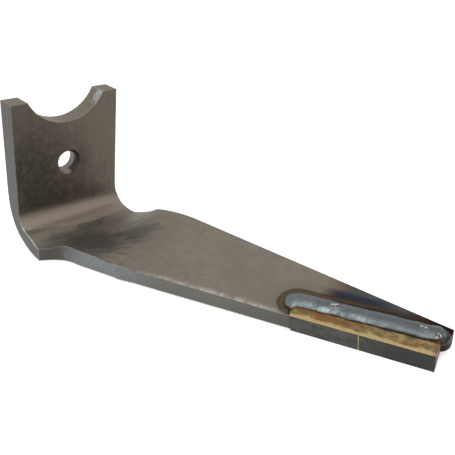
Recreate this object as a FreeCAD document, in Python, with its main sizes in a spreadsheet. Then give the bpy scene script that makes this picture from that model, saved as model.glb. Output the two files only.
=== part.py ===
import FreeCAD, Part
import os
import Sketcher

# Harrow tine: one forged steel body with a bolted flange and a twisted blade,
# two carbide plates brazed along the leading edge and a weld bead over the seam.
# Modelling frame: X across the flange, front face of the flange at Y = 0,
# top edge of the flange at Z = 0, blade running towards -Y.

doc = FreeCAD.newDocument("harrow_tine")
sizes = doc.addObject("Spreadsheet::Sheet", "Sizes")

DRIVING = [
    ("flangeWidth", 100.0, "width of the bar across the flange"),
    ("flangeThick", 16.0, "thickness of the bar"),
    ("notchRadius", 40.0, "half-round notch between the horns"),
    ("notchRise", 18.6, "notch centre above the top edge"),
    ("boreDiameter", 18.5, "bolt bore"),
    ("boreDrop", 58.3, "bore centre below the top edge"),
    ("boreBevelFront", 1.8, "mouth of the bore, front"),
    ("boreBevelBack", 3.4, "mouth of the bore, back"),
    ("bendDrop", 97.0, "centre of the inner bend below the top edge"),
    ("flatRise", 23.0, "flat part of the flange ends this far above that centre"),
    ("bendInner", 13.0, "inner radius of the bend"),
    ("bendLead", 8.0, "section above the bend where the bar starts to thin"),
    ("bendLeadThick", 15.2, "bar there"),
    ("bendStartThick", 13.6, "bar where the inner radius starts"),
    ("bendMidThick", 11.4, "bar drawn thin round the bend"),
    ("bendEndThick", 14.2, "bar where the inner radius ends"),
    ("bendBulge", 1.5, "upset of the bar at the far corner of its inner face"),
    ("bendWaist", 0.8, "narrowing of the bar at the far corner of its outer face"),
    ("restTilt", 9.03, "slope of the underside against the flange normal"),
    ("heelOut", 28.0, "underside touches down this far in front"),
    ("heelDepth", 30.3, "underside there below the centre of the inner bend"),
    ("cornerOut", 30.0, "section at the trimmed corner"),
    ("cornerNearThick", 10.8, "bar at the trimmed corner"),
    ("cornerFarThick", 16.8, "bar at the far edge there"),
    ("heelEnd", 41.0, "section where the heel starts to twist"),
    ("heelRoll", 1.6, "roll of that section"),
    ("heelEdge", 12.6, "its leading edge"),
    ("heelNearThick", 13.7, "bar there"),
    ("heelFarThick", 17.0, "bar at its far edge"),
    ("rootOut", 53.0, "section in the root of the blade"),
    ("rootRoll", 5.6, "roll of the root section"),
    ("rootThick", 15.8, "upright thickness of the root section"),
    ("rootEdge", 17.8, "leading edge of the root section"),
    ("bladeOut", 105.0, "start point of the leading edge in front of the flange"),
    ("bladeEdge", 27.4, "start point of the leading edge across the flange"),
    ("bladeYaw", 14.75, "skew of the leading edge"),
    ("bladeRoll", 14.2, "twist of the blade"),
    ("twistBack", 14.0, "first twisted section before the start point"),
    ("twistBackRoll", 7.9, "its roll"),
    ("twistBackThick", 16.5, "its thickness"),
    ("twistBackFar", 81.0, "its width from the leading edge"),
    ("twistOn", 12.0, "second twisted section past the start point"),
    ("twistOnRoll", 12.9, "its roll"),
    ("twistOnThick", 15.1, "its thickness"),
    ("twistOnFar", 76.0, "its width"),
    ("bladeFlat", 36.0, "flat blade starts here"),
    ("bladeFlatThick", 14.13, "its thickness"),
    ("bladeFlatFar", 71.8, "its width"),
    ("bladeLength", 247.4, "tip past the start point"),
    ("tipThick", 11.4, "thickness at the tip"),
    ("tipFar", 26.0, "width at the tip"),
    ("edgeStock", 1.0, "stock left outside the leading edge before trimming"),
    ("rootStock", 8.0, "stock left there in the root"),
    ("trimRadius", 33.0, "concave trim behind the bend corner"),
    ("trimAcross", 18.2, "end of the concave trim across the flange"),
    ("trimOut", 57.0, "end of the concave trim in front of the flange"),
    ("kinkBack", 6.0, "upright trim leaves the edge line, before the start point"),
    ("kinkFlare", 4.4, "it runs out past the leaning edge by this"),
    ("plateLength", 47.2, "carbide plate along the edge"),
    ("plateHeight", 14.5, "carbide plate through the blade"),
    ("plateDepth", 15.6, "carbide plate across the blade"),
    ("plateTip", 5.4, "steel tip past the second plate"),
    ("plateGap", 0.5, "braze joint between the plates"),
    ("jointRise", 0.3, "it stops short of the under side of the plates"),
    ("plateProud", 1.0, "plates stand out of the leading edge"),
    ("plateBelow", 0.7, "plates stand below the blade"),
    ("shoulderGap", 0.6, "open gap at the shoulder of the rebate"),
    ("brazeBack", 0.4, "braze behind the plates"),
    ("brazeTop", 0.3, "braze over the plates"),
    ("tipRadius", 8.0, "rounded corner of the steel tip behind the plates"),
    ("beadFront", 9.0, "near side of the weld bead"),
    ("beadBack", 21.6, "far side of the weld bead"),
    ("beadLead", 8.7, "weld bead starts before the first plate"),
    ("beadTail", 0.6, "and ends before the tip"),
    ("beadHeight", 3.0, "crown of the weld bead above its edges"),
    ("beadLip", 0.25, "edge of the weld bead"),
    ("blobFront", 4.9, "near side of the wide start of the bead"),
    ("blobHeight", 3.4, "crown there"),
    ("blobReach", 7.4, "rounded start of the bead"),
    ("neckReach", 7.0, "narrowing from the start to the even run"),
    ("tailFront", 10.8, "near side of the bead at the tip"),
    ("tailBack", 24.1, "far side of the bead at the tip"),
    ("tailReach", 7.5, "rounded end of the bead"),
]

for row, (alias, value, note) in enumerate(DRIVING, start=1):
    sizes.set("A%d" % row, note)
    sizes.set("B%d" % row, str(value))
    sizes.setAlias("B%d" % row, alias)
doc.recompute()


def size(name):
    return "Sizes." + name


# Height of the rest plane under the blade, a distance "out" in front of the flange.
def restHeight(out):
    return "(({0}) - {1}) * tan({2}) - ({3} + {4})".format(
        out, size("heelOut"), size("restTilt"), size("bendDrop"), size("heelDepth"))


# A size that tapers evenly along the flat blade, and the upper face above the lower.
def taper(root, tip, along):
    return "({0} + ({1} - {0}) * (({2}) - {3}) / ({4} - {3}))".format(
        size(root), size(tip), along, size("bladeFlat"), size("bladeLength"))


def deckHeight(along):
    return taper("bladeFlatThick", "tipThick", along)


BLADE_PITCH = "atan(tan({0}) * cos({1}))".format(size("restTilt"), size("bladeYaw"))
SEAT_BACK = "({0} - {1})".format(size("plateDepth"), size("plateProud"))
REBATE_WALL = "({0} + {1})".format(SEAT_BACK, size("brazeBack"))
PLATE_TOP = "({0} - {1})".format(size("plateHeight"), size("plateBelow"))
FLAT_DROP = "({0} - {1})".format(size("bendDrop"), size("flatRise"))
PLATES_END = "({0} - {1})".format(size("bladeLength"), size("plateTip"))
PLATE_START = "({0} - 2 * {1} - {2})".format(PLATES_END, size("plateLength"), size("plateGap"))
BEAD_START = "({0} - {1})".format(PLATE_START, size("beadLead"))
BEAD_END = "({0} - {1})".format(size("bladeLength"), size("beadTail"))


def plane(body, role):
    for feature in body.Origin.OriginFeatures:
        if getattr(feature, "Role", "") == role:
            return feature
    raise ValueError(role)


def newBody(label):
    body = doc.addObject("PartDesign::Body", label)
    body.Label = label
    return body


# The blade plane is square to the leading edge at its start point: its x runs
# level across the blade, its y up through it and its normal along it to the tip.
def bladePlane(body):
    datum = body.newObject("PartDesign::Plane", body.Label + "_bladePlane")
    datum.AttachmentSupport = [(plane(body, "XY_Plane"), "")]
    datum.MapMode = "FlatFace"
    datum.setExpression(
        "AttachmentOffset",
        "placement(vector({0}; -{1}; {2}); rotation({3}; 0; 90 - {4} / 1 deg))".format(
            size("bladeEdge"), size("bladeOut"), restHeight(size("bladeOut")),
            size("bladeYaw"), BLADE_PITCH))
    doc.recompute()
    return datum


def newSketch(body, name, support, offset=None):
    sketch = body.newObject("Sketcher::SketchObject", name)
    sketch.AttachmentSupport = [(support, "")]
    sketch.MapMode = "FlatFace"
    if offset:
        sketch.setExpression("AttachmentOffset", offset)
    return sketch


def bind(sketch, constraint, expression):
    index = sketch.addConstraint(constraint)
    sketch.setExpression("Constraints[%d]" % index, expression)


def value(sketch, text):
    result = sketch.evalExpression(text)
    return getattr(result, "Value", result)


def place(sketch, geometry, point, x, y):
    for kind, text in (("DistanceX", x), ("DistanceY", y)):
        bind(sketch, Sketcher.Constraint(kind, -1, 1, geometry, point, value(sketch, text)),
             text)


# Closed outline through corners given as (x, y) expressions. An arc replaces the
# side that starts at a corner listed in arcs, with its radius and its centre's side.
def outline(sketch, corners, arcs=None):
    arcs = arcs or {}
    points = [FreeCAD.Vector(value(sketch, x), value(sketch, y), 0) for x, y in corners]
    count = len(points)
    ends = []
    for i, start in enumerate(points):
        stop = points[(i + 1) % count]
        if i not in arcs:
            index = sketch.addGeometry(Part.LineSegment(start, stop), False)
            ends.append((index, 1, 2))
            continue
        radius, side = arcs[i]
        reach = value(sketch, radius)
        chord = stop - start
        normal = FreeCAD.Vector(-chord.y, chord.x, 0).normalize() * side
        rise = (reach ** 2 - chord.Length ** 2 / 4.0) ** 0.5
        centre = (start + stop) * 0.5 + normal * rise
        middle = centre - normal * reach
        arc = Part.Arc(start, middle, stop)
        index = sketch.addGeometry(arc, False)
        first = sketch.getPoint(index, 1)
        ends.append((index, 1, 2) if first.distanceToPoint(start) < 1e-6 else (index, 2, 1))
        bind(sketch, Sketcher.Constraint("Radius", index, reach), radius)
    for i, (index, _, last) in enumerate(ends):
        following = ends[(i + 1) % count]
        sketch.addConstraint(
            Sketcher.Constraint("Coincident", index, last, following[0], following[1]))
    for (index, first, _), (x, y) in zip(ends, corners):
        place(sketch, index, first, x, y)
    doc.recompute()
    return sketch


def cut(body, name, sketch, depth=None, both=False):
    before = body.Shape.Volume
    pocket = body.newObject("PartDesign::Pocket", name)
    pocket.Profile = sketch
    if depth:
        pocket.Type = "Length"
        pocket.setExpression("Length", depth)
    else:
        pocket.Type = "ThroughAll"
        pocket.Midplane = both
    doc.recompute()
    removed = before - body.Shape.Volume
    if removed < 1.0:
        raise RuntimeError(name + " removes nothing")
    print(name, "removes", round(removed, 1))
    return pocket


def loft(body, name, sections, ruled):
    feature = body.newObject("PartDesign::AdditiveLoft", name)
    feature.Profile = sections[0]
    feature.Sections = sections[1:]
    feature.Ruled = ruled
    doc.recompute()
    return feature


# Steel body. Sections follow the bar round the bend, through the twist and on to the
# flat blade, each with its corners in the same order.
tine = newBody("tine_body")
front = plane(tine, "XZ_Plane")
blade = bladePlane(tine)


# Sections round the bend turn about the centre of the inner radius.
def bendSection(name, drop, turn, thick, share):
    offset = "placement(vector(0; -({0}); {1}); rotation(0; 0; {2}))".format(
        drop, size("bendInner"), turn)
    sketch = newSketch(tine, name, front, offset)
    bulge = "{0} * {1}".format(size("bendBulge"), share)
    return outline(sketch, [
        ("0", "-({0} + {1})".format(size("bendInner"), thick)),
        ("{0} - {1} * {2}".format(size("flangeWidth"), size("bendWaist"), share),
         "-({0} + {1})".format(size("bendInner"), thick)),
        ("{0} + {1}".format(size("flangeWidth"), bulge), "-" + size("bendInner")),
        ("0", "-" + size("bendInner")),
    ])


# Upright sections across the root, standing on the rest plane at the leading edge.
def rootSection(name, out, start, edge, roll, nearThick, farThick):
    offset = "placement(vector(0; {0}; {1}); rotation(0; 0; 0))".format(restHeight(out), out)
    sketch = newSketch(tine, name, front, offset)
    slope = "(({0}) - {1}) * tan({2})"
    near = slope.format(start, edge, roll)
    far = slope.format(size("flangeWidth"), edge, roll)
    return outline(sketch, [
        (start, near),
        (size("flangeWidth"), far),
        (size("flangeWidth"), "{0} + {1}".format(far, farThick)),
        (start, "{0} + {1}".format(near, nearThick)),
    ])


# Sections square to the leading edge, rolled about it. The near side leans with the
# blade, or stands upright where the share is 1.
def bladeSection(name, along, roll, thick, far, stock="0", upright="0"):
    offset = "placement(vector(0; 0; {0}); rotation({1}; 0; 0))".format(along, roll)
    sketch = newSketch(tine, name, blade, offset)
    return outline(sketch, [
        ("-" + stock, "0"),
        (far, "0"),
        (far, thick),
        ("{0} * tan({1}) * {2} - {3}".format(thick, roll, upright, stock), thick),
    ])


sections = [
    bendSection("flangeSection", FLAT_DROP, "90", size("flangeThick"), "0"),
    bendSection("bendLeadSection", "{0} - {1}".format(size("bendDrop"), size("bendLead")),
                "90", size("bendLeadThick"), "0.1"),
    bendSection("bendStart", size("bendDrop"), "90", size("bendStartThick"), "0.4"),
    bendSection("bendThird", size("bendDrop"), "60", size("bendMidThick"), "1"),
    bendSection("bendTwoThirds", size("bendDrop"), "30", size("bendMidThick"), "1"),
    bendSection("bendEnd", size("bendDrop"), "0", size("bendEndThick"), "0.4"),
    rootSection("cornerSection", size("cornerOut"), "0", "0", "0",
                size("cornerNearThick"), size("cornerFarThick")),
    rootSection("heelSection", size("heelEnd"), "0", size("heelEdge"), size("heelRoll"),
                size("heelNearThick"), size("heelFarThick")),
    rootSection("rootSection", size("rootOut"),
                "{0} - {1}".format(size("rootEdge"), size("rootStock")),
                size("rootEdge"), size("rootRoll"), size("rootThick"), size("rootThick")),
    bladeSection("twistBackSection", "-" + size("twistBack"), size("twistBackRoll"),
                 size("twistBackThick"), size("twistBackFar"), size("edgeStock"), "1"),
    bladeSection("twistOnSection", size("twistOn"), size("twistOnRoll"),
                 size("twistOnThick"), size("twistOnFar")),
    bladeSection("bladeFlatSection", size("bladeFlat"), size("bladeRoll"),
                 size("bladeFlatThick"), size("bladeFlatFar")),
]
tipSection = bladeSection("tipSection", size("bladeLength"), size("bladeRoll"),
                          size("tipThick"), size("tipFar"))


# The four corners of the bar run as smooth curves through the sections, from straight
# down the flange to straight along the tapered blade, with the faces ruled between.
def corners(sketch):
    return [sketch.Placement.multVec(sketch.getPoint(index, 1)) for index in range(4)]


def flatFace(*points):
    return Part.Face(Part.makePolygon(points + points[:1]))


stations = [corners(sketch) for sketch in sections]
tipCorners = corners(tipSection)
flatRun = FreeCAD.Vector(0, 0, value(tipSection, FLAT_DROP))
topCorners = [point + flatRun for point in stations[0]]
middles = [sum(station, FreeCAD.Vector()) * 0.25 for station in stations]
travel = [0.0]
for before, after in zip(middles, middles[1:]):
    travel.append(travel[-1] + before.distanceToPoint(after))
curves = []
for index in range(4):
    curve = Part.BSplineCurve()
    curve.interpolate(Points=[station[index] for station in stations], Parameters=travel,
                      InitialTangent=-flatRun,
                      FinalTangent=tipCorners[index] - stations[-1][index])
    curves.append(curve)
skin = [flatFace(*topCorners), flatFace(*tipCorners)]
for near, far in ((topCorners, stations[0]), (stations[-1], tipCorners)):
    for a, b in ((0, 1), (1, 2), (2, 3), (3, 0)):
        skin.append(flatFace(near[a], near[b], far[b], far[a]))
for start, stop in zip(travel, travel[1:]):
    edges = [curve.toShape(start, stop) for curve in curves]
    for a, b in ((0, 1), (1, 2), (2, 3), (3, 0)):
        skin.append(Part.makeRuledSurface(edges[a], edges[b]))
shell = Part.makeShell(skin)
shell.sewShape()
solid = Part.Solid(shell)
bar = doc.addObject("Part::Feature", "forgedBar")
bar.Shape = solid if solid.Volume > 0 else solid.reversed()
print("bar", bar.Shape.isValid(), round(bar.Shape.Volume), "mm3")
tine.BaseFeature = bar
doc.recompute()

# The leading edge is trimmed upright behind the bend corner, with a concave sweep
# that runs into the straight edge and out through the leaning side of the blade.
EDGE_X = "cos({0}) * sin({1})".format(BLADE_PITCH, size("bladeYaw"))
EDGE_Y = "cos({0}) * cos({1})".format(BLADE_PITCH, size("bladeYaw"))


def edgePoint(along, outside):
    x = "{0} + ({1}) * {2} - ({3}) * cos({4})".format(
        size("bladeEdge"), along, EDGE_X, outside, size("bladeYaw"))
    y = "-{0} - ({1}) * {2} - ({3}) * sin({4})".format(
        size("bladeOut"), along, EDGE_Y, outside, size("bladeYaw"))
    return x, y


cornerTrim = newSketch(tine, "cornerTrimOutline", plane(tine, "XY_Plane"))
clear = size("trimAcross")
outline(cornerTrim, [
    ("0", "-{0} + 1".format(size("cornerOut"))),
    (size("trimAcross"), "-" + size("trimOut")),
    edgePoint("-" + size("kinkBack"), "0"),
    edgePoint(size("twistOn"), size("kinkFlare")),
    edgePoint(size("twistOn"), clear),
    ("-" + clear, edgePoint(size("twistOn"), clear)[1]),
    ("-" + clear, "-{0} + 1".format(size("cornerOut"))),
], {0: (size("trimRadius"), -1)})
cut(tine, "cornerTrim", cornerTrim)

# Sketches on the deck see the blade in plan: x across it, y along the edge.
def deckSketch(body, name, support, height="0"):
    offset = ("placement(vector(-({1}) * sin({0}); ({1}) * cos({0}); 0); "
              "rotation({0}; 0; 90))").format(size("bladeRoll"), height)
    return newSketch(body, name, support, offset)


# Rebate for the plates, and the rounded corner of the tip behind them.
rebate = deckSketch(tine, "rebateOutline", blade)
rebateStart = "{0} - {1}".format(PLATE_START, size("shoulderGap"))
beyond = size("bladeLength") + " + 10"
outline(rebate, [
    ("-" + clear, rebateStart),
    (REBATE_WALL, rebateStart),
    (REBATE_WALL, "{0} - {1}".format(size("bladeLength"), size("tipRadius"))),
    ("{0} + {1}".format(REBATE_WALL, size("tipRadius")), size("bladeLength")),
    ("{0} + {1}".format(REBATE_WALL, size("tipRadius")), beyond),
    ("-" + clear, beyond),
], {2: (size("tipRadius"), -1)})
cut(tine, "rebate", rebate, None, True)

# Half-round notch and bolt bore through the flange.
notch = newSketch(tine, "notchOutline", front)
circle = notch.addGeometry(Part.Circle(FreeCAD.Vector(
    value(notch, size("flangeWidth")) / 2.0, value(notch, size("notchRise")), 0),
    FreeCAD.Vector(0, 0, 1), value(notch, size("notchRadius"))), False)
bind(notch, Sketcher.Constraint("Radius", circle, value(notch, size("notchRadius"))),
     size("notchRadius"))
place(notch, circle, 3, size("flangeWidth") + " / 2", size("notchRise"))
cut(tine, "notch", notch, None, True)

bore = newSketch(tine, "boreOutline", front)
circle = bore.addGeometry(Part.Circle(FreeCAD.Vector(
    value(bore, size("flangeWidth")) / 2.0, -value(bore, size("boreDrop")), 0),
    FreeCAD.Vector(0, 0, 1), value(bore, size("boreDiameter")) / 2.0), False)
bind(bore, Sketcher.Constraint("Diameter", circle, value(bore, size("boreDiameter"))),
     size("boreDiameter"))
place(bore, circle, 3, size("flangeWidth") + " / 2", "-" + size("boreDrop"))
cut(tine, "bore", bore, None, True)

# Bevelled mouths of the bore, turned about its axis.
def mouth(name, near, far, reach):
    sketch = newSketch(tine, name + "Profile", plane(tine, "YZ_Plane"),
                       "placement(vector(0; 0; {0} / 2); rotation(0; 0; 0))".format(
                           size("flangeWidth")))
    axisLine = sketch.addGeometry(Part.LineSegment(
        FreeCAD.Vector(0, -value(sketch, size("boreDrop")), 0),
        FreeCAD.Vector(1, -value(sketch, size("boreDrop")), 0)), True)
    place(sketch, axisLine, 1, "0", "-" + size("boreDrop"))
    place(sketch, axisLine, 2, size("flangeThick"), "-" + size("boreDrop"))
    throat = "-{0} + {1} / 2 - 0.5".format(size("boreDrop"), size("boreDiameter"))
    wide = "-{0} + {1} / 2 + {2}".format(size("boreDrop"), size("boreDiameter"), reach)
    outline(sketch, [(far + " + 0", "-{0} + {1} / 2".format(size("boreDrop"),
                                                          size("boreDiameter"))),
                     (near, wide), (near, throat), (far + " + 0", throat)])
    groove = tine.newObject("PartDesign::Groove", name)
    groove.Profile = sketch
    groove.ReferenceAxis = (sketch, ["Axis0"])
    groove.Angle = 360
    before = tine.Shape.Volume
    doc.recompute()
    print(name, "removes", round(before - tine.Shape.Volume, 1))


mouth("frontMouth", "0", size("boreBevelFront"), size("boreBevelFront"))
mouth("backMouth", size("flangeThick"),
      "{0} - {1}".format(size("flangeThick"), size("boreBevelBack")), size("boreBevelBack"))
print("tine", tine.Shape.isValid(), round(tine.Shape.Volume))

# Carbide plates, end to end in the rebate.
def plate(label, start):
    body = newBody(label)
    support = bladePlane(body)
    offset = "placement(vector(0; 0; {0}); rotation({1}; 0; 0))".format(
        start, size("bladeRoll"))
    sketch = newSketch(body, label + "_section", support, offset)
    outline(sketch, [
        ("-" + size("plateProud"), "-" + size("plateBelow")),
        (SEAT_BACK, "-" + size("plateBelow")),
        (SEAT_BACK, PLATE_TOP),
        ("-" + size("plateProud"), PLATE_TOP),
    ])
    pad = body.newObject("PartDesign::Pad", label + "_length")
    pad.Profile = sketch
    pad.setExpression("Length", size("plateLength"))
    doc.recompute()
    return body


firstPlate = plate("carbide_plate_inner", PLATE_START)
secondPlate = plate("carbide_plate_outer", "{0} + {1} + {2}".format(
    PLATE_START, size("plateLength"), size("plateGap")))

# Braze over the plates, behind them and in the joint between them.
braze = newBody("braze_filler")
brazePlane = bladePlane(braze)
sketch = newSketch(braze, "brazeSection", brazePlane,
                   "placement(vector(0; 0; {0}); rotation({1}; 0; 0))".format(
                       PLATE_START, size("bladeRoll")))
SKIN = "({0} + {1})".format(PLATE_TOP, size("brazeTop"))
lip = "-{0} + {1}".format(size("plateProud"), size("brazeTop"))
outline(sketch, [
    (lip, PLATE_TOP),
    (SEAT_BACK, PLATE_TOP),
    (SEAT_BACK, "0"),
    (REBATE_WALL, "0"),
    (REBATE_WALL, SKIN),
    (lip + " + " + size("brazeTop"), SKIN),
])
pad = braze.newObject("PartDesign::Pad", "brazeLength")
pad.Profile = sketch
pad.setExpression("Length", "{0} - {1}".format(PLATES_END, PLATE_START))
sketch = newSketch(braze, "jointSection", brazePlane,
                   "placement(vector(0; 0; {0} + {1}); rotation({2}; 0; 0))".format(
                       PLATE_START, size("plateLength"), size("bladeRoll")))
jointFoot = "{0} - {1}".format(size("jointRise"), size("plateBelow"))
outline(sketch, [
    ("-" + size("plateProud"), jointFoot),
    (SEAT_BACK + " + 0.1", jointFoot),
    (SEAT_BACK + " + 0.1", PLATE_TOP + " + 0.1"),
    ("-" + size("plateProud"), PLATE_TOP + " + 0.1"),
])
pad = braze.newObject("PartDesign::Pad", "brazeJoint")
pad.Profile = sketch
pad.setExpression("Length", size("plateGap"))
doc.recompute()

# Weld bead over the seam between the plates and the steel: a wide start, an even
# run and a rounded end, seated on the deck and on the brazed plates.
bead = newBody("weld_bead")
beadPlane = bladePlane(bead)


def beadSection(name, along, front, back, rise, frontHeight):
    sketch = newSketch(bead, name, beadPlane,
                       "placement(vector(0; 0; {0}); rotation({1}; 0; 0))".format(
                           along, size("bladeRoll")))
    backHeight = deckHeight(along)
    chord = "(({1} - {0})^2 + ({3} - {2})^2)".format(front, back, backHeight, frontHeight)
    lip = size("beadLip")
    return outline(sketch, [
        (front, "0"),
        (back, "0"),
        (back, "{0} + {1}".format(backHeight, lip)),
        (front, "{0} + {1}".format(frontHeight, lip)),
    ], {2: ("({0} / 4 + ({1})^2) / (2 * ({1}))".format(chord, rise), 1)})


# Rounded ends: the width grows with the distance into the cap as on a circle.
def capSection(name, along, reach, share, front, back, rise, frontHeight=None):
    wide = "sqrt(1 - (1 - {0})^2)".format(share)
    middle = "({0} + {1}) / 2".format(front, back)
    half = "({1} - {0}) / 2 * {2}".format(front, back, wide)
    spot = "{0} + {1} * {2}".format(along, reach, share)
    return beadSection(name, spot, "({0} - {1})".format(middle, half),
                       "({0} + {1})".format(middle, half),
                       "{0} * {1}".format(rise, wide), frontHeight or deckHeight(spot))


blob = (size("blobFront"), size("beadBack"), size("blobHeight"))
tail = (size("tailFront"), size("tailBack"), size("beadHeight"))
sections = [
    capSection("beadStart", BEAD_START, size("blobReach"), "0.06", *blob),
    capSection("beadStartRound", BEAD_START, size("blobReach"), "0.3", *blob),
    capSection("beadBlob", BEAD_START, size("blobReach"), "1", *blob),
    beadSection("beadNeck", "{0} + {1} + {2}".format(
        BEAD_START, size("blobReach"), size("neckReach")),
        size("beadFront"), size("beadBack"), size("beadHeight"), SKIN),
    beadSection("beadRun", "{0} - {1}".format(BEAD_END, size("tailReach")),
                size("tailFront"), size("tailBack"), size("beadHeight"), SKIN),
    capSection("beadTailRound", BEAD_END, "-" + size("tailReach"), "0.3", *tail),
    capSection("beadTail", BEAD_END, "-" + size("tailReach"), "0.06", *tail),
]
loft(bead, "beadBody", sections, True)

# Seats under the bead: the deck of the steel, and the brazed top of the plates.
sideOffset = ("placement(vector({1} * cos({0}); {1} * sin({0}); 0); "
              "rotation(90 + {0}; 0; 90))")
deckSeat = newSketch(bead, "deckSeatOutline", beadPlane, sideOffset.format(
    size("bladeRoll"), "0"))
low = BEAD_START + " - 10"
high = BEAD_END + " + 10"
outline(deckSeat, [
    ("-10", low), (deckHeight(low), low), (deckHeight(high), high), ("-10", high)])
cut(bead, "deckSeat", deckSeat, None, True)
plateSeat = newSketch(bead, "plateSeatOutline", beadPlane, sideOffset.format(
    size("bladeRoll"), REBATE_WALL))
outline(plateSeat, [
    ("0", PLATE_START), (SKIN, PLATE_START),
    (SKIN, PLATES_END), ("0", PLATES_END)])
cut(bead, "plateSeat", plateSeat)


# Rest attitude: the tine lies on the heel of its bend and on its leading edge. The
# origin is in the middle of its box, at the height of what it rests on.
pieces = [tine, firstPlate, secondPlate, braze, bead]
tilt = FreeCAD.Rotation(FreeCAD.Vector(1, 0, 0), sizes.restTilt)
for body in pieces:
    body.Placement = FreeCAD.Placement(FreeCAD.Vector(0, 0, 0), tilt)
doc.recompute()
box = FreeCAD.BoundBox()
for body in pieces:
    box.add(body.Shape.optimalBoundingBox(True, False))
shift = FreeCAD.Vector(-box.Center.x, -box.Center.y, -box.ZMin)
for body in pieces:
    body.Placement = FreeCAD.Placement(shift, tilt)
doc.recompute()

for item in doc.Objects:
    if "Invalid" in item.State or "Error" in item.State:
        raise RuntimeError("failed: " + item.Name)
for body in pieces:
    if body.Shape.isNull() or not body.Shape.isValid() or len(body.Shape.Solids) != 1:
        raise RuntimeError("bad shape: " + body.Label)
os.makedirs("parts", exist_ok=True)
for body in pieces:
    body.Shape.exportStep(os.path.join("parts", body.Label + ".step"))
    print(body.Label, round(body.Shape.Volume), "mm3")
print("shift", shift, "tilt", sizes.restTilt)
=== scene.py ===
import bpy
import bmesh
import math
from mathutils import Matrix, Vector, noise


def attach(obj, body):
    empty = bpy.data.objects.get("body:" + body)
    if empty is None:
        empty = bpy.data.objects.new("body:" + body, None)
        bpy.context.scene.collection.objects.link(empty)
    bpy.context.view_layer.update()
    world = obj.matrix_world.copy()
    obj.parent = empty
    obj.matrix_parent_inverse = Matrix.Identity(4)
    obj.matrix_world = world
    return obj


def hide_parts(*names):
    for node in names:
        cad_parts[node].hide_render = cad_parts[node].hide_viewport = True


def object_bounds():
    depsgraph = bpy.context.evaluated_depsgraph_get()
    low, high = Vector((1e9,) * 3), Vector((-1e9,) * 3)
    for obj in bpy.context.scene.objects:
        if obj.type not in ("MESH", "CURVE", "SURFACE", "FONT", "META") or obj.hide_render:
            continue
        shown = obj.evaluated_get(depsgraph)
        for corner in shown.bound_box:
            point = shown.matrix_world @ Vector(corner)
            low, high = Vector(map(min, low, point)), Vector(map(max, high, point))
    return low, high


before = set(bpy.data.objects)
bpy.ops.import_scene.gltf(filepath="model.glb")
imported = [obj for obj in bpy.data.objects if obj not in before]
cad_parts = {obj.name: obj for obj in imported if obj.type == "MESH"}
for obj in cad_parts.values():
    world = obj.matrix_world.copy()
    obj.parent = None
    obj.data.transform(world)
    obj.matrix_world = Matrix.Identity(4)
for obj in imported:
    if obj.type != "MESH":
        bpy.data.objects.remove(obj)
cadLow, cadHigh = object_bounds()
print("frame loaded", cadLow, cadHigh)

perMetre = 1000.0   # millimetres in a metre
joinWithin = 1e-6   # loose points closer than this, in metres, are one

# How the tine lies, in millimetres and degrees: the flange leans forward, the blade is skewed
# and rolled.
tine = {
    "shift": (-56.8747, 146.1004, 131.0720),   # top front edge of the flange, left end
    "lean": 9.03,
    "width": 100.0,
    "notchRadius": 40.0, "notchRise": 18.6,    # its centre is above the top of the flange
    "boreRadius": 9.25, "boreDrop": 58.3,
    "edgeStart": (27.42, -105.0, -115.06),     # start of the leading edge, on the flange
    "yaw": 14.75,
    "roll": 14.2,
}

lean = Matrix.Rotation(math.radians(tine["lean"]), 3, "X")
shift = Vector(tine["shift"])
edgePitch = math.atan(math.tan(math.radians(tine["lean"])) * math.cos(math.radians(tine["yaw"])))
bladeTurn = (lean @ Matrix.Rotation(math.radians(tine["yaw"]), 3, "Z")
             @ Matrix.Rotation(math.pi / 2 - edgePitch, 3, "X")
             @ Matrix.Rotation(math.radians(tine["roll"]), 3, "Z"))
bladeOrigin = lean @ Vector(tine["edgeStart"]) + shift


# Places on the blade: across it, up from its lower face, along its edge, in millimetres.
def onBlade(place):
    return (bladeOrigin + bladeTurn @ Vector(place)) / perMetre


def bladePlace(point):
    return bladeTurn.transposed() @ (point * perMetre - bladeOrigin)


# sRGB hex to linear
def paint(hexText):
    values = [int(hexText[i:i + 2], 16) / 255 for i in (1, 3, 5)]
    return [v / 12.92 if v <= 0.04045 else ((v + 0.055) / 1.055) ** 2.4 for v in values] + [1.0]


# Adds a node and gives one output: links are its inputs, by order or by name.
def addNode(tree, kind, links=(), out=0, **settings):
    node = tree.nodes.new("ShaderNode" + kind)
    for name, value in settings.items():
        setattr(node, name, value)
    for name, value in links.items() if isinstance(links, dict) else enumerate(links):
        if isinstance(value, bpy.types.NodeSocket):
            tree.links.new(value, node.inputs[name])
        else:
            node.inputs[name].default_value = value
    return node.outputs[out]


# Starts a material: the values its coats may follow are places in millimetres on the flange
# (width, depth, height) and on the blade (across, up, along), and its own grains.
def startMaterial(name, look):
    material = bpy.data.materials.new(name)
    material.use_nodes = True
    tree = material.node_tree
    shader = tree.nodes["Principled BSDF"]
    shader.inputs["Metallic"].default_value = look["metallic"]
    shader.inputs["Roughness"].default_value = look["roughness"]
    place = addNode(tree, "TexCoord", out="Object")
    at = {}
    for side, turn, origin, axes in (("flange", lean, shift, ("width", "depth", "height")),
                                     ("blade", bladeTurn, bladeOrigin, ("across", "up", "along"))):
        back = turn.transposed()
        at[side] = addNode(tree, "Mapping", {
            "Vector": place, "Location": -(back @ origin), "Rotation": back.to_euler(),
            "Scale": (perMetre, perMetre, perMetre)})
        at.update(zip(axes, addNode(tree, "SeparateXYZ", (at[side],)).node.outputs))
    for grain, (side, size, detail, rough) in look["grains"].items():
        spread = addNode(tree, "Mapping", {"Vector": at[side], "Scale": size},
                         vector_type="TEXTURE")
        at[grain] = addNode(tree, "TexNoise", {"Vector": spread, "Scale": 1.0, "Detail": detail,
                                               "Roughness": rough})
    return material, tree, shader, at


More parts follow.
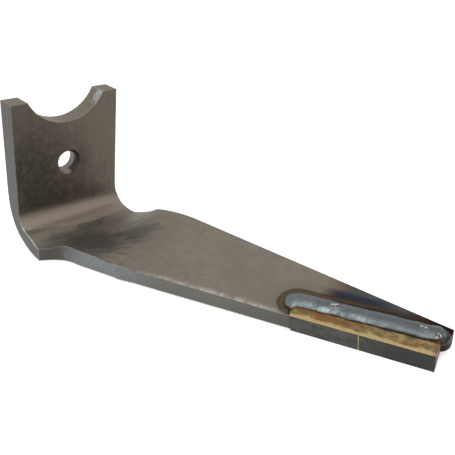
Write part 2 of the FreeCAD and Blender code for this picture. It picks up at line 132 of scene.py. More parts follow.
# Gives the shader its colour and a fine relief, whose strength and depth in millimetres are
# in the look. It lies on the piece's own shape, or on what under gives.
def finishMaterial(tree, shader, look, colour, height, **under):
    tree.links.new(colour, shader.inputs["Base Color"])
    strength, deep = look["relief"]
    relief = addNode(tree, "Bump", {"Height": height, "Strength": strength,
                                    "Distance": deep / perMetre, **under})
    tree.links.new(relief, shader.inputs["Normal"])


# A strength lowered by its masks. A mask is a value, where it starts and where it is full, or
# the name of one that several coats share.
def masked(tree, at, look, share, masks):
    for mask in masks:
        value, start, full = look["masks"][mask] if isinstance(mask, str) else mask
        mask = addNode(tree, "MapRange", {"Value": at[value], "From Min": start,
                                          "From Max": full}, interpolation_type="SMOOTHSTEP")
        share = addNode(tree, "Math", (share, mask), operation="MULTIPLY")
    return share


# Lays one colour over another. A Mix node's colours are its inputs 6 and 7 and its output 2.
def lay(tree, share, base, colour):
    return addNode(tree, "Mix", {0: share, 6: base, 7: colour}, out=2, data_type="RGBA")


# Lays one of a look's lists of coats over a colour. A coat is a colour, its strength and its
# masks.
def coat(tree, at, look, base, coats):
    for colour, share, *masks in look[coats]:
        share = masked(tree, at, look, share, masks)
        base = lay(tree, share, base, paint(look["colours"][colour]))
    return base


# Lays one of a look's lists of patches over a colour: stains, and patches of painted shade and
# painted highlight. A patch is the side it is placed on, its middle, its turn in degrees, its
# reach in three directions, its colour and its strength.
def patched(tree, at, look, base, stains):
    for side, middle, turn, reach, colour, share in look[stains]:
        spot = addNode(tree, "Mapping", {
            "Vector": at[side + "Ragged"], "Location": middle, "Scale": reach,
            "Rotation": [math.radians(angle) for angle in turn]}, vector_type="TEXTURE")
        at["spot"] = addNode(tree, "VectorMath", (spot,), out="Value", operation="LENGTH")
        share = masked(tree, at, look, share, ("stain",))
        base = lay(tree, share, base, paint(look["colours"][colour]))
    return base


# Forged flat bar, blasted and left raw. It is a warm grey with a fine grain. The front of the
# flange is browner, and painted darker as shade on the side turned from the light. A painted
# highlight runs round the bend, and the root of the blade is painted dark, as shade and as a
# reflection of the dark flange, with streaks fanning out of it. The cut face carries a painted
# cool, bluish reflection that turns warmer past the root, and a painted highlight runs along
# the rolled leading edge. Round the weld it has temper colours and a painted shadow along its
# toe, and its tip is burnt, with a painted orange highlight.
steelLook = {
    "colours": {
        "dark": "#665f55", "light": "#7f776b",
        "flange": "#3d362f", "flangeLight": "#5f574c", "cloud": "#2a2420",
        "bendGlow": "#81766a", "heel": "#6a6459", "scar": "#3b352d", "valley": "#43413c",
        "side": "#565451", "cut": "#6e7172", "cutWarm": "#5f5e57", "cutDark": "#4d4a44",
        "cutBrown": "#413c34", "wall": "#6c645a", "wallDark": "#544d45", "strip": "#a69c94",
        "burr": "#d0d5d4", "polish": "#b4b9be", "hole": "#1c1713", "boreWall": "#857d70",
        "toe": "#15100c", "brown": "#221a10", "gold": "#483319", "grey": "#686057",
        "blue": "#121a29", "slate": "#3b4142", "purple": "#3d3434", "rust": "#5c4130",
        "tip": "#20120a", "burnt": "#2c190f", "glow": "#6a3c1a", "brass": "#8a6c3e",
    },
    "metallic": 0.6, "roughness": 0.5, "relief": (0.3, 0.3),
    # how the fine grain changes the roughness: from, to, smoother by, rougher by
    "roughSpread": (0.3, 0.7, 0.06, 0.1),
    "edgeRadius": 0.9, "edgeSamples": 8,
    # grains in mm: blasted steel has one of about 0.1, drawn coarser so that it shows
    "grains": {
        "fine": ("flange", (1.2, 1.2, 1.2), 4.0, 0.7),
        "mottle": ("flange", (6.0, 6.0, 6.0), 5.0, 0.65),
        "cloud": ("flange", (30.0, 30.0, 30.0), 3.0, 0.5),
        "rolled": ("flange", (3.0, 3.0, 26.0), 4.0, 0.6),
        "sheared": ("flange", (1.4, 1.4, 9.0), 3.0, 0.6),
        "sawn": ("flange", (0.9, 11.0, 0.9), 3.0, 0.6),
    },
    # streaks fan out of this place on the blade: their width in radians and length in mm
    "fanCentre": (-2.4, 0.0, -58.8), "fanSize": (0.06, 22.0, 1.0), "fanDetail": (4.0, 0.6),
    # the band of painted highlight round the bend falls to the right, and its two edges are ragged
    # by this much
    "bendCurve": 0.0008, "bendFall": 0.24, "bendRun": 58.0, "bendRagged": (6.0, 5.0),
    # patches are shifted by grains: how many in a mm, how fine and rough, how far in mm
    "ragGrain": (0.12, 4.0, 0.6), "ragShift": 16.0,
    # middle line of the weld, and the joint of the braze that ends on the deck
    "beadStart": 146.0, "beadEnd": 239.5, "beadMiddle": 13.6, "beadSlope": 0.045,
    "beadRagged": 2.0, "joint": 147.4, "jointSlant": 0.43,
    "masks": {
        "deck": ("deckward", 0.6, 0.85), "cutFace": ("cutward", 0.5, 0.75),
        "sideFace": ("sideward", 0.7, 0.9), "nearSide": ("width", 3.0, 1.0),
        "front": ("frontward", 0.75, 0.95), "aboveBend": ("fromTop", -98.0, -90.0),
        "shearMarks": ("sheared", 0.45, 0.7), "sawMarks": ("sawn", 0.42, 0.68),
        "top": ("height", -0.4, -0.1), "notchWall": ("fromNotch", 0.5, 0.1),
        "pastHeel": ("along", -44.0, -24.0), "nearJoint": ("across", 9.0, 7.0),
        "burntTip": ("along", 222.0, 238.0),
        "worn": ("turned", 0.99, 0.93), "stain": ("spot", 1.1, 0.4),
    },
    "ground": (
        ("light", 0.6, ("fine", 0.3, 0.7)),
        ("light", 0.4, ("mottle", 0.35, 0.65)),
        ("dark", 0.4, ("cloud", 0.4, 0.7)),
        ("heel", 0.85, ("fromHeel", -3.0, -7.0), ("along", -30.0, -52.0)),
    ),
    # the dark root of the blade: painted shade and a painted reflection of the dark flange in the
    # hollow of the root, with scars and paler patches
    "rootShadeAndMarks": (
        ("flange", (32.0, -58.0, -104.0), (0, 0, 0), (24.0, 32.0, 24.0), "valley", 0.85),
        ("flange", (46.0, -76.0, -100.0), (0, 0, 0), (24.0, 16.0, 20.0), "valley", 0.75),
        ("flange", (58.0, -23.0, -112.0), (0, 0, 8), (24.0, 7.5, 12.0), "scar", 0.6),
        ("flange", (24.0, -25.0, -113.0), (0, 0, -6), (20.0, 6.0, 12.0), "scar", 0.5),
        ("flange", (38.0, -36.0, -110.0), (0, 0, 0), (22.0, 10.0, 12.0), "valley", 0.5),
        ("flange", (86.0, -34.0, -109.0), (0, 0, 0), (16.0, 18.0, 12.0), "heel", 0.6),
        ("blade", (47.0, 14.0, -8.0), (0, 0, 0), (10.0, 12.0, 14.0), "valley", 0.75),
        ("blade", (36.0, 14.0, -6.0), (0, 20, 0), (8.0, 12.0, 18.0), "valley", 0.75),
        ("blade", (54.0, 14.0, 2.0), (0, -10, 0), (5.0, 12.0, 14.0), "valley", 0.6),
        ("blade", (40.0, 14.0, 14.0), (0, 0, 0), (24.0, 12.0, 22.0), "heel", 0.6),
        ("blade", (9.0, 14.0, 131.0), (0, 0, 0), (18.0, 12.0, 20.0), "heel", 0.95),
        ("blade", (30.0, 14.0, 152.0), (0, 0, 0), (9.0, 12.0, 26.0), "heel", 0.55),
    ),
    # streaks of painted shade and light in the root, the painted highlight round the bend and a
    # line of painted highlight under it
    "bend": (
        ("valley", 0.55, ("along", 16.0, -8.0), "pastHeel", ("width", 96.0, 84.0),
         ("drawn", 0.5, 0.66)),
        ("light", 0.3, ("along", 24.0, -10.0), "pastHeel", ("drawn", 0.5, 0.36)),
        # painted highlight round the bend
        ("bendGlow", 0.9, ("fromTop", -90.0, -98.0), ("fromHeel", -5.6, -2.4)),
        ("strip", 0.6, ("fromHeel", -0.5, -2.5), ("fromHeel", -5.5, -3.5),
         ("width", 48.0, 34.0), ("fine", 0.5, 0.58)),
    ),
    # front of the flange, painted darker than the deck as shade on the side turned from the light,
    # with a lighter right side and darker clouds
    "face": (
        ("flangeLight", 0.6, ("mottle", 0.35, 0.7)),
        ("flangeLight", 0.8, ("width", 25.0, 100.0)),
        ("flangeLight", 0.5, ("cloud", 0.45, 0.6), ("width", 30.0, 60.0)),
        ("flangeLight", 0.45, ("height", -55.0, -5.0)),
        ("flange", 0.35, ("rolled", 0.45, 0.7)),
        ("light", 0.28, ("fine", 0.5, 0.7)),
    ),
    "faceStains": (
        ("flange", (23.0, 0.0, -88.0), (0, 0, 0), (26.0, 9.0, 14.0), "cloud", 0.2),
        ("flange", (64.0, 0.0, -92.0), (0, 8, 0), (34.0, 9.0, 9.0), "cloud", 0.25),
        ("flange", (12.0, 0.0, -58.0), (0, 0, 0), (24.0, 9.0, 44.0), "cloud", 0.25),
        ("flange", (66.0, 0.0, -56.0), (0, 0, 0), (10.0, 9.0, 16.0), "flange", 0.7),
        ("flange", (80.0, 0.0, -40.0), (0, 0, 0), (22.0, 9.0, 44.0), "flangeLight", 0.6),
    ),
    # temper colours, from the outermost to the toe of the weld, a painted shadow along the toe,
    # and the end of the braze with a dark line at its joint
    "heat": (
        ("grey", 0.85, "deck", ("fromBead", 26.0, 15.0)),
        ("rust", 0.55, "deck", ("across", 26.0, 31.0), ("along", 156.0, 170.0),
         ("along", 186.0, 176.0)),
        ("purple", 0.9, "deck", ("across", 28.0, 33.0), ("along", 164.0, 180.0)),
        ("slate", 0.95, "deck", ("across", 21.0, 25.0), ("across", 42.0, 33.0),
         ("along", 172.0, 192.0)),
        ("blue", 1.0, "deck", ("across", 22.5, 26.0), ("across", 36.0, 31.5),
         ("along", 156.0, 172.0), ("along", 216.0, 194.0)),
        ("gold", 0.9, "deck", ("fromBead", 13.6, 12.4)),
        ("brown", 0.7, "deck", ("fromBead", 15.2, 13.2), ("fromBead", 11.8, 12.8)),
        # painted shadow along the toe of the weld bead
        ("toe", 0.9, "deck", ("fromBead", 11.4, 10.2), ("along", 152.0, 172.0)),
        ("toe", 0.8, "deck", ("fromBead", 12.6, 11.2), ("along", 178.0, 205.0)),
        ("burnt", 0.9, "deck", ("along", 208.0, 228.0), ("across", 33.0, 28.0)),
        ("brass", 0.9, "deck", ("fromJoint", 0.0, 0.6), "nearJoint", ("along", 151.0, 150.0)),
        ("toe", 0.95, "deck", ("fromJoint", -1.3, -0.9), ("fromJoint", 0.5, 0.2),
         "nearJoint"),
    ),
    # cut and sheared sides, cooler than the faces, browner at the corner and towards the tip. The
    # cut face carries a painted bluish reflection, which turns warmer past the root.
    "sides": (
        ("cut", 1.0, "cutFace"),
        ("cutWarm", 1.0, "cutFace", ("along", -10.0, 50.0)),
        ("cutDark", 0.25, "cutFace", "shearMarks"),
        ("cutDark", 0.8, "cutFace", ("along", 80.0, 150.0)),
        ("cutBrown", 0.9, "cutFace", ("width", 20.0, 12.0), ("height", -90.0, -100.0)),
        ("tip", 0.95, "burntTip", ("across", 8.0, 12.0)),
        ("side", 1.0, "sideFace", "nearSide"),
        ("cutDark", 0.4, "sideFace", "nearSide", "shearMarks"),
        # painted highlight in a strip along the rolled leading edge
        ("strip", 0.85, "deck", ("across", 5.0, 0.5), ("along", 10.0, 50.0),
         ("along", 146.0, 125.0), ("mottle", 0.3, 0.6)),
    ),
    # flat tops of the horns and walls of the notch, with marks of the cut, and the bore
    "walls": (
        ("wall", 1.0, "top"),
        ("wallDark", 0.8, "top", "sawMarks"),
        ("wall", 1.0, "notchWall"),
        ("wallDark", 0.6, "notchWall", "sawMarks"),
        ("polish", 0.9, "notchWall", ("width", 76.0, 83.0), ("depth", 10.0, 5.0),
         ("fine", 0.4, 0.6)),
        ("boreWall", 0.95, ("fromBore", 0.5, 0.2)),
    ),
    # a painted orange highlight on the lower front corner of the burnt tip
    "tipHighlights": (
        ("blade", (15.5, 7.0, 242.5), (0, 0, 0), (5.0, 6.0, 5.0), "glow", 0.6),
    ),
    # edges worn a little, a bright burr at the heel and along the start of the cut, and the
    # dark mouth of the bore
    "edges": (
        ("burr", 0.15, "worn", ("mottle", 0.3, 0.6)),
        ("burr", 0.9, "worn", ("depth", 0.0, -8.0), ("width", 6.0, 3.0),
         ("depth", -30.0, -26.5)),
        ("burr", 0.28, "worn", ("along", -66.0, -58.0), ("along", 20.0, 0.0),
         ("across", 20.0, 14.0), ("fine", 0.3, 0.6)),
        ("hole", 0.95, ("fromBore", 2.6, 1.6), ("depth", 7.0, 5.0), ("width", 50.0, 54.0)),
    ),
}


def forgedSteel():
    look = steelLook
    material, tree, shader, at = startMaterial("forgedSteel", look)
    width, height, across, along = at["width"], at["height"], at["across"], at["along"]
    fine, mottle = at["fine"], at["mottle"]
    # which way a face looks: 1 is straight at the direction
    normal = addNode(tree, "TexCoord", out="Normal")
    for name, direction in (("deckward", bladeTurn.col[1]), ("cutward", -bladeTurn.col[0]),
                            ("sideward", -lean.col[0]), ("frontward", -lean.col[1])):
        at[name] = addNode(tree, "VectorMath", (normal, direction), out="Value",
                           operation="DOT_PRODUCT")
    # places shifted by a grain, which give patches a ragged rim
    grain, detail, rough = look["ragGrain"]
    for side in ("flange", "blade"):
        rag = addNode(tree, "TexNoise", {"Vector": at[side], "Scale": grain, "Detail": detail,
                                         "Roughness": rough}, out="Color")
        rag = addNode(tree, "VectorMath", (rag, (0.5, 0.5, 0.5)), operation="SUBTRACT")
        at[side + "Ragged"] = addNode(tree, "VectorMath", (rag, [look["ragShift"]] * 3, at[side]),
                                      operation="MULTIPLY_ADD")
    # streaks that fan out of the corner: by angle and by reach
    fan = addNode(tree, "VectorMath", (at["blade"], look["fanCentre"]), operation="SUBTRACT")
    reach = addNode(tree, "VectorMath", (fan,), out="Value", operation="LENGTH")
    fanParts = addNode(tree, "SeparateXYZ", (fan,)).node.outputs
    angle = addNode(tree, "Math", (fanParts[0], fanParts[2]), operation="ARCTAN2")
    fan = addNode(tree, "CombineXYZ", (angle, reach, 0.0))
    fan = addNode(tree, "Mapping", {"Vector": fan, "Scale": look["fanSize"]},
                  vector_type="TEXTURE")
    detail, rough = look["fanDetail"]
    at["drawn"] = addNode(tree, "TexNoise", {"Vector": fan, "Scale": 1.0, "Detail": detail,
                                             "Roughness": rough})
    # how high and how far forward a place on the bend is, each with a ragged line
    topRagged, heelRagged = look["bendRagged"]
    bow = addNode(tree, "Math", (width, width), operation="MULTIPLY")
    bow = addNode(tree, "Math", (bow, look["bendCurve"], height), operation="MULTIPLY_ADD")
    at["fromTop"] = addNode(tree, "Math", (mottle, topRagged, bow), operation="MULTIPLY_ADD")
    run = addNode(tree, "Math", (width, look["bendRun"]), operation="MINIMUM")
    run = addNode(tree, "Math", (run, look["bendFall"], at["depth"]), operation="MULTIPLY_ADD")
    at["fromHeel"] = addNode(tree, "Math", (mottle, heelRagged, run), operation="MULTIPLY_ADD")
    # how far a place on the deck is from the middle line of the bead, and from the joint
    ahead = addNode(tree, "Math", (look["beadStart"], along), operation="SUBTRACT")
    past = addNode(tree, "Math", (along, look["beadEnd"]), operation="SUBTRACT")
    lengthways = addNode(tree, "Math", (ahead, past), operation="MAXIMUM")
    lengthways = addNode(tree, "Math", (lengthways, 0.0), operation="MAXIMUM")
    middle = look["beadMiddle"] - look["beadSlope"] * look["beadStart"]
    middle = addNode(tree, "Math", (along, look["beadSlope"], middle), operation="MULTIPLY_ADD")
    sideways = addNode(tree, "Math", (across, middle), operation="SUBTRACT")
    away = addNode(tree, "CombineXYZ", (sideways, lengthways, 0.0))
    away = addNode(tree, "VectorMath", (away,), out="Value", operation="LENGTH")
    at["fromBead"] = addNode(tree, "Math", (mottle, look["beadRagged"], away),
                             operation="MULTIPLY_ADD")
    joint = addNode(tree, "Math", (across, look["jointSlant"], along), operation="MULTIPLY_ADD")
    at["fromJoint"] = addNode(tree, "Math", (joint, look["joint"]), operation="SUBTRACT")
    # how far a place on the flange is outside the notch and the bore
    flat = addNode(tree, "VectorMath", (at["flange"], (1, 0, 1)), operation="MULTIPLY")
    for name, rise, radius in (("fromNotch", tine["notchRise"], tine["notchRadius"]),
                               ("fromBore", -tine["boreDrop"], tine["boreRadius"])):
        away = addNode(tree, "VectorMath", (flat, (tine["width"] / 2, 0, rise)), out="Value",
                       operation="DISTANCE")
        at[name] = addNode(tree, "Math", (away, radius), operation="SUBTRACT")
    # rounded edges, and how far they turn from the face they are on
    rounded = addNode(tree, "Bevel", {"Radius": look["edgeRadius"] / perMetre},
                      samples=look["edgeSamples"])
    straight = addNode(tree, "NewGeometry", out="True Normal")
    at["turned"] = addNode(tree, "VectorMath", (rounded, straight), out="Value",
                           operation="DOT_PRODUCT")

    colour = coat(tree, at, look, paint(look["colours"]["dark"]), "ground")
    colour = patched(tree, at, look, colour, "rootShadeAndMarks")
    colour = coat(tree, at, look, colour, "bend")
    face = coat(tree, at, look, paint(look["colours"]["flange"]), "face")
    face = patched(tree, at, look, face, "faceStains")
    # the front of the flange takes its darker colour where a face looks forward: painted shade
    facing = masked(tree, at, look, 1.0, ("front", "aboveBend"))
    colour = lay(tree, facing, colour, face)
    for coats in ("heat", "sides", "walls"):
        colour = coat(tree, at, look, colour, coats)
    colour = patched(tree, at, look, colour, "tipHighlights")
    colour = coat(tree, at, look, colour, "edges")
    finishMaterial(tree, shader, look, colour, fine, Normal=rounded)
    start, full, smoother, rougher = look["roughSpread"]
    rough = addNode(tree, "MapRange", {"Value": fine, "From Min": start, "From Max": full,
                                       "To Min": look["roughness"] - smoother,
                                       "To Max": look["roughness"] + rougher})
    tree.links.new(rough, shader.inputs["Roughness"])
    # fully metallic at the burnt tip, so that it mirrors only its own dark colour
    value, start, full = look["masks"]["burntTip"]
    metal = addNode(tree, "MapRange", {"Value": at[value], "From Min": start, "From Max": full,
                                       "To Min": look["metallic"], "To Max": 1.0})
    tree.links.new(metal, shader.inputs["Metallic"])
    return material


# Sintered carbide: dense and dark, with faint grinding marks along the plate.
carbideLook = {
    "colours": {"dark": "#2c2d2a", "light": "#454540", "brown": "#4a3d2c", "end": "#1c1815",
                "black": "#1c1c1a"},
    "metallic": 0.5, "roughness": 0.5, "relief": (0.2, 0.2),
    # grains in mm: grinding marks are finer than 0.1, drawn at 0.5 so that they show
    "grains": {
        "fine": ("blade", (1.4, 1.4, 1.4), 3.0, 0.6),
        "ground": ("blade", (0.5, 0.5, 14.0), 3.0, 0.55),
        "smear": ("blade", (3.0, 3.0, 7.0), 4.0, 0.6),
        "mottle": ("blade", (9.0, 9.0, 9.0), 4.0, 0.6),
    },
    "coats": (
        ("light", 0.9, ("mottle", 0.35, 0.65)),
        ("light", 0.5, ("smear", 0.45, 0.65)),
        ("black", 0.6, ("smear", 0.5, 0.35)),
        ("light", 0.4, ("ground", 0.4, 0.65)),
        ("black", 0.9, ("along", 180.0, 226.0)),
        ("brown", 0.5, ("mottle", 0.6, 0.7)),
        ("brown", 0.3, ("fine", 0.62, 0.7)),
        ("end", 0.9, ("along", 241.5, 241.9)),
    ),
}


def sinteredCarbide():
    look = carbideLook
    material, tree, shader, at = startMaterial("sinteredCarbide", look)
    colour = coat(tree, at, look, paint(look["colours"]["dark"]), "coats")
    finishMaterial(tree, shader, look, colour, at["ground"])
    return material


# Brass braze left as it ran: bright along the front edge, dark gold and pitted behind it,
# burnt orange and brown where the weld heated it.
brazeLook = {
    "colours": {"gold": "#806b45", "dark": "#3d3628", "olive": "#5a5138", "pale": "#9c875c",
                "bright": "#ac976b", "burnt": "#6e421c", "black": "#17100b"},
    "metallic": 0.7, "roughness": 0.45, "relief": (0.5, 0.4),
    # grains in mm
    "grains": {
        "pits": ("blade", (1.4, 1.4, 1.4), 5.0, 0.65),
        "blotch": ("blade", (3.5, 3.5, 6.0), 5.0, 0.6),
        "mottle": ("blade", (9.0, 9.0, 12.0), 4.0, 0.6),
    },
    "wave": 2.5,   # how far the lines between its colours wander, in mm
    "coats": (
        ("dark", 0.5, ("pits", 0.5, 0.35)),
        ("olive", 0.85, ("blotch", 0.5, 0.62)),
        ("pale", 0.7, ("blotch", 0.48, 0.38)),
        ("burnt", 0.6, ("mottle", 0.5, 0.6)),
        ("burnt", 0.8, ("wavy", 6.5, 10.0), ("along", 190.0, 150.0)),
        ("bright", 0.85, ("wavy", 5.0, 3.6), ("pits", 0.32, 0.46)),
        # painted shadow under the edge of the weld bead
        ("black", 0.9, ("wavy", 10.4, 12.0)),
        ("burnt", 0.4, ("along", 238.0, 241.5)),
    ),
}


def brassBraze():
    look = brazeLook
    material, tree, shader, at = startMaterial("brassBraze", look)
    at["wavy"] = at["across"]
    for grain in ("mottle", "blotch"):
        at["wavy"] = addNode(tree, "Math", (at[grain], look["wave"], at["wavy"]),
                             operation="MULTIPLY_ADD")
    colour = coat(tree, at, look, paint(look["colours"]["gold"]), "coats")
    finishMaterial(tree, shader, look, colour, at["pits"])
    return material


# Weld metal as it was laid: a cool grey that shines on its lower half, with slag in the pores
# and painted shade along its toe, where it meets the deck.
weldLook = {
    "colours": {"dark": "#505657", "light": "#6b7274", "slag": "#b7a69f", "pit": "#3b3431",
                "shine": "#99a3a6", "toe": "#1d1814"},
    "metallic": 0.75, "roughness": 0.42, "relief": (0.25, 0.3),
    # grains in mm
    "grains": {
        "mottle": ("blade", (6.0, 6.0, 6.0), 4.0, 0.6),
        "fine": ("blade", (1.2, 1.2, 1.2), 3.0, 0.6),
    },
    "coats": (
        ("light", 0.7, ("mottle", 0.25, 0.75)),
        ("light", 0.4, ("along", 168.0, 150.0)),
        ("dark", 0.5, ("fine", 0.5, 0.7)),
        ("shine", 0.7, ("across", 13.5, 10.5), ("along", 156.0, 166.0),
         ("along", 206.0, 184.0), ("mottle", 0.35, 0.6)),
        ("dark", 0.85, ("along", 195.0, 225.0)),
        # painted shade along the foot of the bead
        ("toe", 0.8, ("up", 14.8, 14.0)),
        ("slag", 0.7, ("dirt", 0.2, 0.5), ("fine", 0.4, 0.55)),
        ("pit", 0.9, ("dirt", 0.85, 1.0)),
    ),
}


def weldMetal():
    look = weldLook
    material, tree, shader, at = startMaterial("weldMetal", look)
    at["dirt"] = addNode(tree, "Attribute", out="Fac", attribute_name="slag")
    colour = coat(tree, at, look, paint(look["colours"]["dark"]), "coats")
    finishMaterial(tree, shader, look, colour, at["fine"])
    return material


# A copy of a node's mesh, with its loose triangles joined
def joinedCopy(node):
    mesh = bmesh.new()
    mesh.from_mesh(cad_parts[node].data)
    bmesh.ops.remove_doubles(mesh, verts=mesh.verts, dist=joinWithin)
    return mesh


def makePiece(name, mesh):
    data = bpy.data.meshes.new(name)
    mesh.to_mesh(data)
    mesh.free()
    piece = bpy.data.objects.new(name, data)
    bpy.context.collection.objects.link(piece)
    return piece


# The weld bead: the solid's shape with wandering edges, ripples across it, lumps, pores, and a
# crater where the arc was broken off. In millimetres.
beadShape = {
    "voxel": 0.45, "smoothing": 3, "swell": 0.55,
    "middle": 15.0, "deck": 13.6, "crown": 2.0,   # relief fades in over the crown's height
    "wander": 1.2, "wanderLength": 9.0, "wanderSeed": (5.0, 3.1),
    "ripple": 0.02, "rippleLength": 3.4, "bow": 0.05, "bowWander": 1.5, "bowGrain": 90.0,
    "lump": 0.35, "lumpLength": 10.0,
    # along, across, radius, depth
    "pores": ((172.2, 15.3, 1.2, 0.6), (174.6, 16.2, 1.3, 0.8), (176.2, 17.6, 0.8, 0.5),
              (229.4, 17.1, 1.0, 0.6), (232.0, 16.6, 1.1, 0.8), (239.6, 11.7, 1.0, -0.3),
              (240.4, 14.8, 1.0, 0.3)),
    "crater": (242.2, 15.2, 2.2, 0.6),
    # height, and in radii its place and how fast it falls
    "poreLip": (0.25, 1.5, 2.0), "craterLip": (0.3, 1.3, 3.0),
    "slagReach": 1.3,
}


def weldBead():
    look = beadShape
    piece = makePiece("weldBead", joinedCopy("weld_bead"))
    remesh = piece.modifiers.new("voxels", "REMESH")
    remesh.mode = "VOXEL"
    remesh.voxel_size = look["voxel"] / perMetre
    solid = bpy.data.meshes.new_from_object(
        piece.evaluated_get(bpy.context.evaluated_depsgraph_get()))
    piece.modifiers.clear()

    mesh = bmesh.new()
    mesh.from_mesh(solid)
    # the voxels can leave a crumb inside, so only what hangs together stays
    rim = {max(mesh.verts, key=lambda vert: vert.co.x)}
    kept = set(rim)
    while rim:
        rim = {edge.other_vert(vert) for vert in rim for edge in vert.link_edges} - kept
        kept |= rim
    bmesh.ops.delete(mesh, geom=[vert for vert in mesh.verts if vert not in kept],
                     context="VERTS")
    for step in range(look["smoothing"]):
        bmesh.ops.smooth_vert(mesh, verts=mesh.verts, factor=0.5, use_axis_x=True,
                              use_axis_y=True, use_axis_z=True)
    mesh.normal_update()
    slag = mesh.verts.layers.float.new("slag")
    seed, secondSeed = look["wanderSeed"]
    hollows = [(*pore, *look["poreLip"], 1.0) for pore in look["pores"]]
    hollows.append((*look["crater"], *look["craterLip"], 0.0))
    for vert in mesh.verts:
        across, up, along = bladePlace(vert.co + vert.normal * look["swell"] / perMetre)
        crown = max(0.0, min(1.0, (up - look["deck"]) / look["crown"]))
        side = 1 if across > look["middle"] else -1
        across += look["wander"] * noise.noise(Vector((side * seed, secondSeed,
                                                       along / look["wanderLength"])))
        bow = (along + look["bow"] * (across - look["middle"]) ** 2
               + look["bowWander"] * noise.noise(vert.co * look["bowGrain"]))
        up += crown * look["ripple"] * math.sin(2 * math.pi * bow / look["rippleLength"])
        up += crown * look["lump"] * noise.noise(Vector((across, up, along))
                                                 / look["lumpLength"])
        dirt = 0.0
        for s, a, radius, deep, lip, lipPlace, lipFall, dirty in hollows:
            reach = math.hypot(along - s, across - a) / radius
            up -= deep * crown * math.exp(-reach ** 4)
            up += lip * crown * math.exp(-((reach - lipPlace) * lipFall) ** 2)
            dirt = max(dirt, dirty * math.exp(-(reach / look["slagReach"]) ** 4))
        vert[slag] = dirt
        vert.co = onBlade((across, up, along))
        vert.co.y = max(vert.co.y, cadLow[1])
    for face in mesh.faces:
        face.smooth = True
    bmesh.ops.recalc_face_normals(mesh, faces=mesh.faces)
    mesh.to_mesh(solid)
    mesh.free()
    piece.data = solid
    print("weld bead", len(solid.vertices), "points")
    return piece


# The bar as it was forged: the solid with a soft bend, and with its upper edge rolled down
# and outwards where the cut runs out into the leading edge. In millimetres.
barShape = {
    "sharpAngle": 35.0,
    "reach": 20.0, "rollFrom": 3.0, "rollFull": 12.0,   # how far in, and from which height
    "stepAlong": 3.0, "stepAcross": 2.0, "onPlane": 0.02, "spareAlong": 10.0,
    "spareAcross": 8.0,
    # along the blade: how far the upper edge goes outwards and down
    "roll": ((-78.0, 0.0, 0.0), (-60.0, 1.2, 0.0), (-42.0, 1.8, 0.5), (-25.0, 2.4, 1.4),
             (-15.0, 3.4, 1.8), (-8.0, 4.0, 1.9), (0.0, 2.2, 1.9), (8.0, 0.1, 1.1),
             (19.0, 0.0, 0.7), (45.0, 0.0, 0.0)),
    # along the blade: where the edge is across it
    "edge": ((-78.0, 7.5), (-25.0, 6.5), (-8.0, 6.2), (0.0, 4.0), (8.0, 0.9), (45.0, 0.0)),
}


# The value at a place in a table, and straight between its rows
def between(table, place, column=1):
    for low, high in zip(table, table[1:]):
        if low[0] <= place <= high[0]:
            share = (place - low[0]) / (high[0] - low[0])
            return low[column] + share * (high[column] - low[column])
    return 0.0


def tineBar():
    look = barShape
    mesh = joinedCopy("tine_body")
    # a grid of cuts round the edge that rolls
    start, end = look["roll"][0][0], look["roll"][-1][0]
    cuts = [((0, 0, start + step * look["stepAlong"]), bladeTurn.col[2])
            for step in range(int((end - start) / look["stepAlong"]) + 1)]
    deepest = look["reach"] + look["spareAcross"]
    cuts += [((step * look["stepAcross"], 0, 0), bladeTurn.col[0])
             for step in range(int(deepest / look["stepAcross"]) + 1)]
    first, last = start - look["spareAlong"], end + look["spareAlong"]
    for place, normal in cuts:
        near = [face for face in mesh.faces
                if any(first < bladePlace(vert.co).z < last for vert in face.verts)]
        parts = set(near) | {edge for face in near for edge in face.edges}
        parts |= {vert for face in near for vert in face.verts}
        bmesh.ops.bisect_plane(mesh, geom=list(parts), dist=look["onPlane"] / perMetre,
                               plane_co=onBlade(place), plane_no=normal)
    bmesh.ops.triangulate(mesh, faces=mesh.faces)
    for vert in mesh.verts:
        across, up, along = bladePlace(vert.co)
        if not start < along < end:
            continue
        inwards = max(0.0, across - between(look["edge"], along)) / look["reach"]
        share = max(0.0, 1 - inwards) ** 2
        share *= max(0.0, min(1.0, (up - look["rollFrom"])
                              / (look["rollFull"] - look["rollFrom"])))
        across -= share * between(look["roll"], along)
        up -= share * between(look["roll"], along, 2)
        vert.co = onBlade((across, up, along))
    bmesh.ops.recalc_face_normals(mesh, faces=mesh.faces)
    for face in mesh.faces:
        face.smooth = True
    for edge in mesh.edges:
        edge.smooth = (edge.is_manifold and edge.calc_face_angle()
                       < math.radians(look["sharpAngle"]))
    print("tine bar", len(mesh.verts), "points")
    return makePiece("tineBar", mesh)


def dress(piece, material):
    piece.data.materials.clear()
    piece.data.materials.append(material)


bead = weldBead()
dress(bead, weldMetal())
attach(bead, "root")
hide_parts("weld_bead")
bar = tineBar()
dress(bar, forgedSteel())
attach(bar, "root")
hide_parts("tine_body")
carbide = sinteredCarbide()
for node, material in (("carbide_plate_inner", carbide),
                       ("carbide_plate_outer", carbide), ("braze_filler", brassBraze())):
    dress(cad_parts[node], material)
print("materials set")

# floor, backdrop and soft light
studio = {
    "floorSize": 4.0, "floorColour": "#f4f4f4", "floorRoughness": 0.9, "floorGlow": 0.35,
    "white": (1, 1, 1, 1), "world": 0.75, "aim": (0, 0, 0.03),
    # name, place, size, power
    "lights": (("key", (-0.5, -0.4, 1.1), 0.9, 9.0), ("fill", (-0.9, -0.6, 0.35), 0.8, 2.0)),
}


# 1 where the background is seen by the camera, or mirrored or seen through something
def whiteSeen(tree):
    rays = addNode(tree, "LightPath").node.outputs
    seen = addNode(tree, "Math", (rays["Is Camera Ray"], rays["Is Glossy Ray"]),
                   operation="MAXIMUM")
    return addNode(tree, "Math", (seen, rays["Is Transmission Ray"]), operation="MAXIMUM")


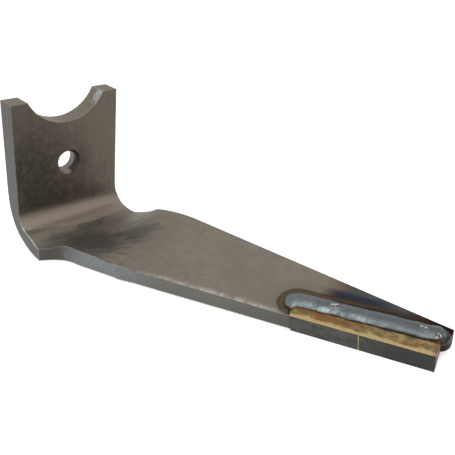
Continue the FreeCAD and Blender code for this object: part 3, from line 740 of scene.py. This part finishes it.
bpy.ops.mesh.primitive_plane_add(size=studio["floorSize"], location=(0, 0, 0))
floor = bpy.context.object
floor.name = "floor"
paper = bpy.data.materials.new("palePaper")
paper.use_nodes = True
shader = paper.node_tree.nodes["Principled BSDF"]
shader.inputs["Base Color"].default_value = paint(studio["floorColour"])
shader.inputs["Roughness"].default_value = studio["floorRoughness"]
shader.inputs["Emission Color"].default_value = studio["white"]
glow = addNode(paper.node_tree, "Math", (whiteSeen(paper.node_tree), studio["floorGlow"]),
               operation="MULTIPLY")
paper.node_tree.links.new(glow, shader.inputs["Emission Strength"])
dress(floor, paper)

world = bpy.data.worlds.new("studio")
bpy.context.scene.world = world
world.use_nodes = True
background = world.node_tree.nodes["Background"]
background.inputs["Color"].default_value = studio["white"]
level = addNode(world.node_tree, "MapRange", {"Value": whiteSeen(world.node_tree),
                                              "To Min": studio["world"], "To Max": 1.0})
world.node_tree.links.new(level, background.inputs["Strength"])

for name, place, size, power in studio["lights"]:
    data = bpy.data.lights.new(name, "AREA")
    data.size = size
    data.energy = power
    light = bpy.data.objects.new(name, data)
    bpy.context.collection.objects.link(light)
    light.location = place
    towards = Vector(studio["aim"]) - Vector(place)
    light.rotation_euler = towards.to_track_quat("-Z", "Y").to_euler()

# camera at the photograph's angle: its focal length is in picture widths
lens = {
    "place": (-0.26230, -0.27669, 0.22123),
    "right": (0.68527, -0.72829, -0.00181), "up": (0.29295, 0.27337, 0.91621),
    "focal": 570.34 / 455.0, "sensor": 36.0, "shift": (0.0002, -0.0007),
}
cameraData = bpy.data.cameras.new("camera")
cameraData.sensor_width = lens["sensor"]
cameraData.lens = lens["sensor"] * lens["focal"]
cameraData.shift_x, cameraData.shift_y = lens["shift"]
camera = bpy.data.objects.new("camera", cameraData)
bpy.context.collection.objects.link(camera)
sideways = Vector(lens["right"]).normalized()
upward = (Vector(lens["up"]) - Vector(lens["up"]).dot(sideways) * sideways).normalized()
turn = Matrix((sideways, upward, sideways.cross(upward))).transposed()
camera.matrix_world = Matrix.Translation(Vector(lens["place"])) @ turn.to_4x4()
bpy.context.scene.camera = camera
bpy.context.scene.view_settings.view_transform = "Standard"
print("floor, light and camera set")
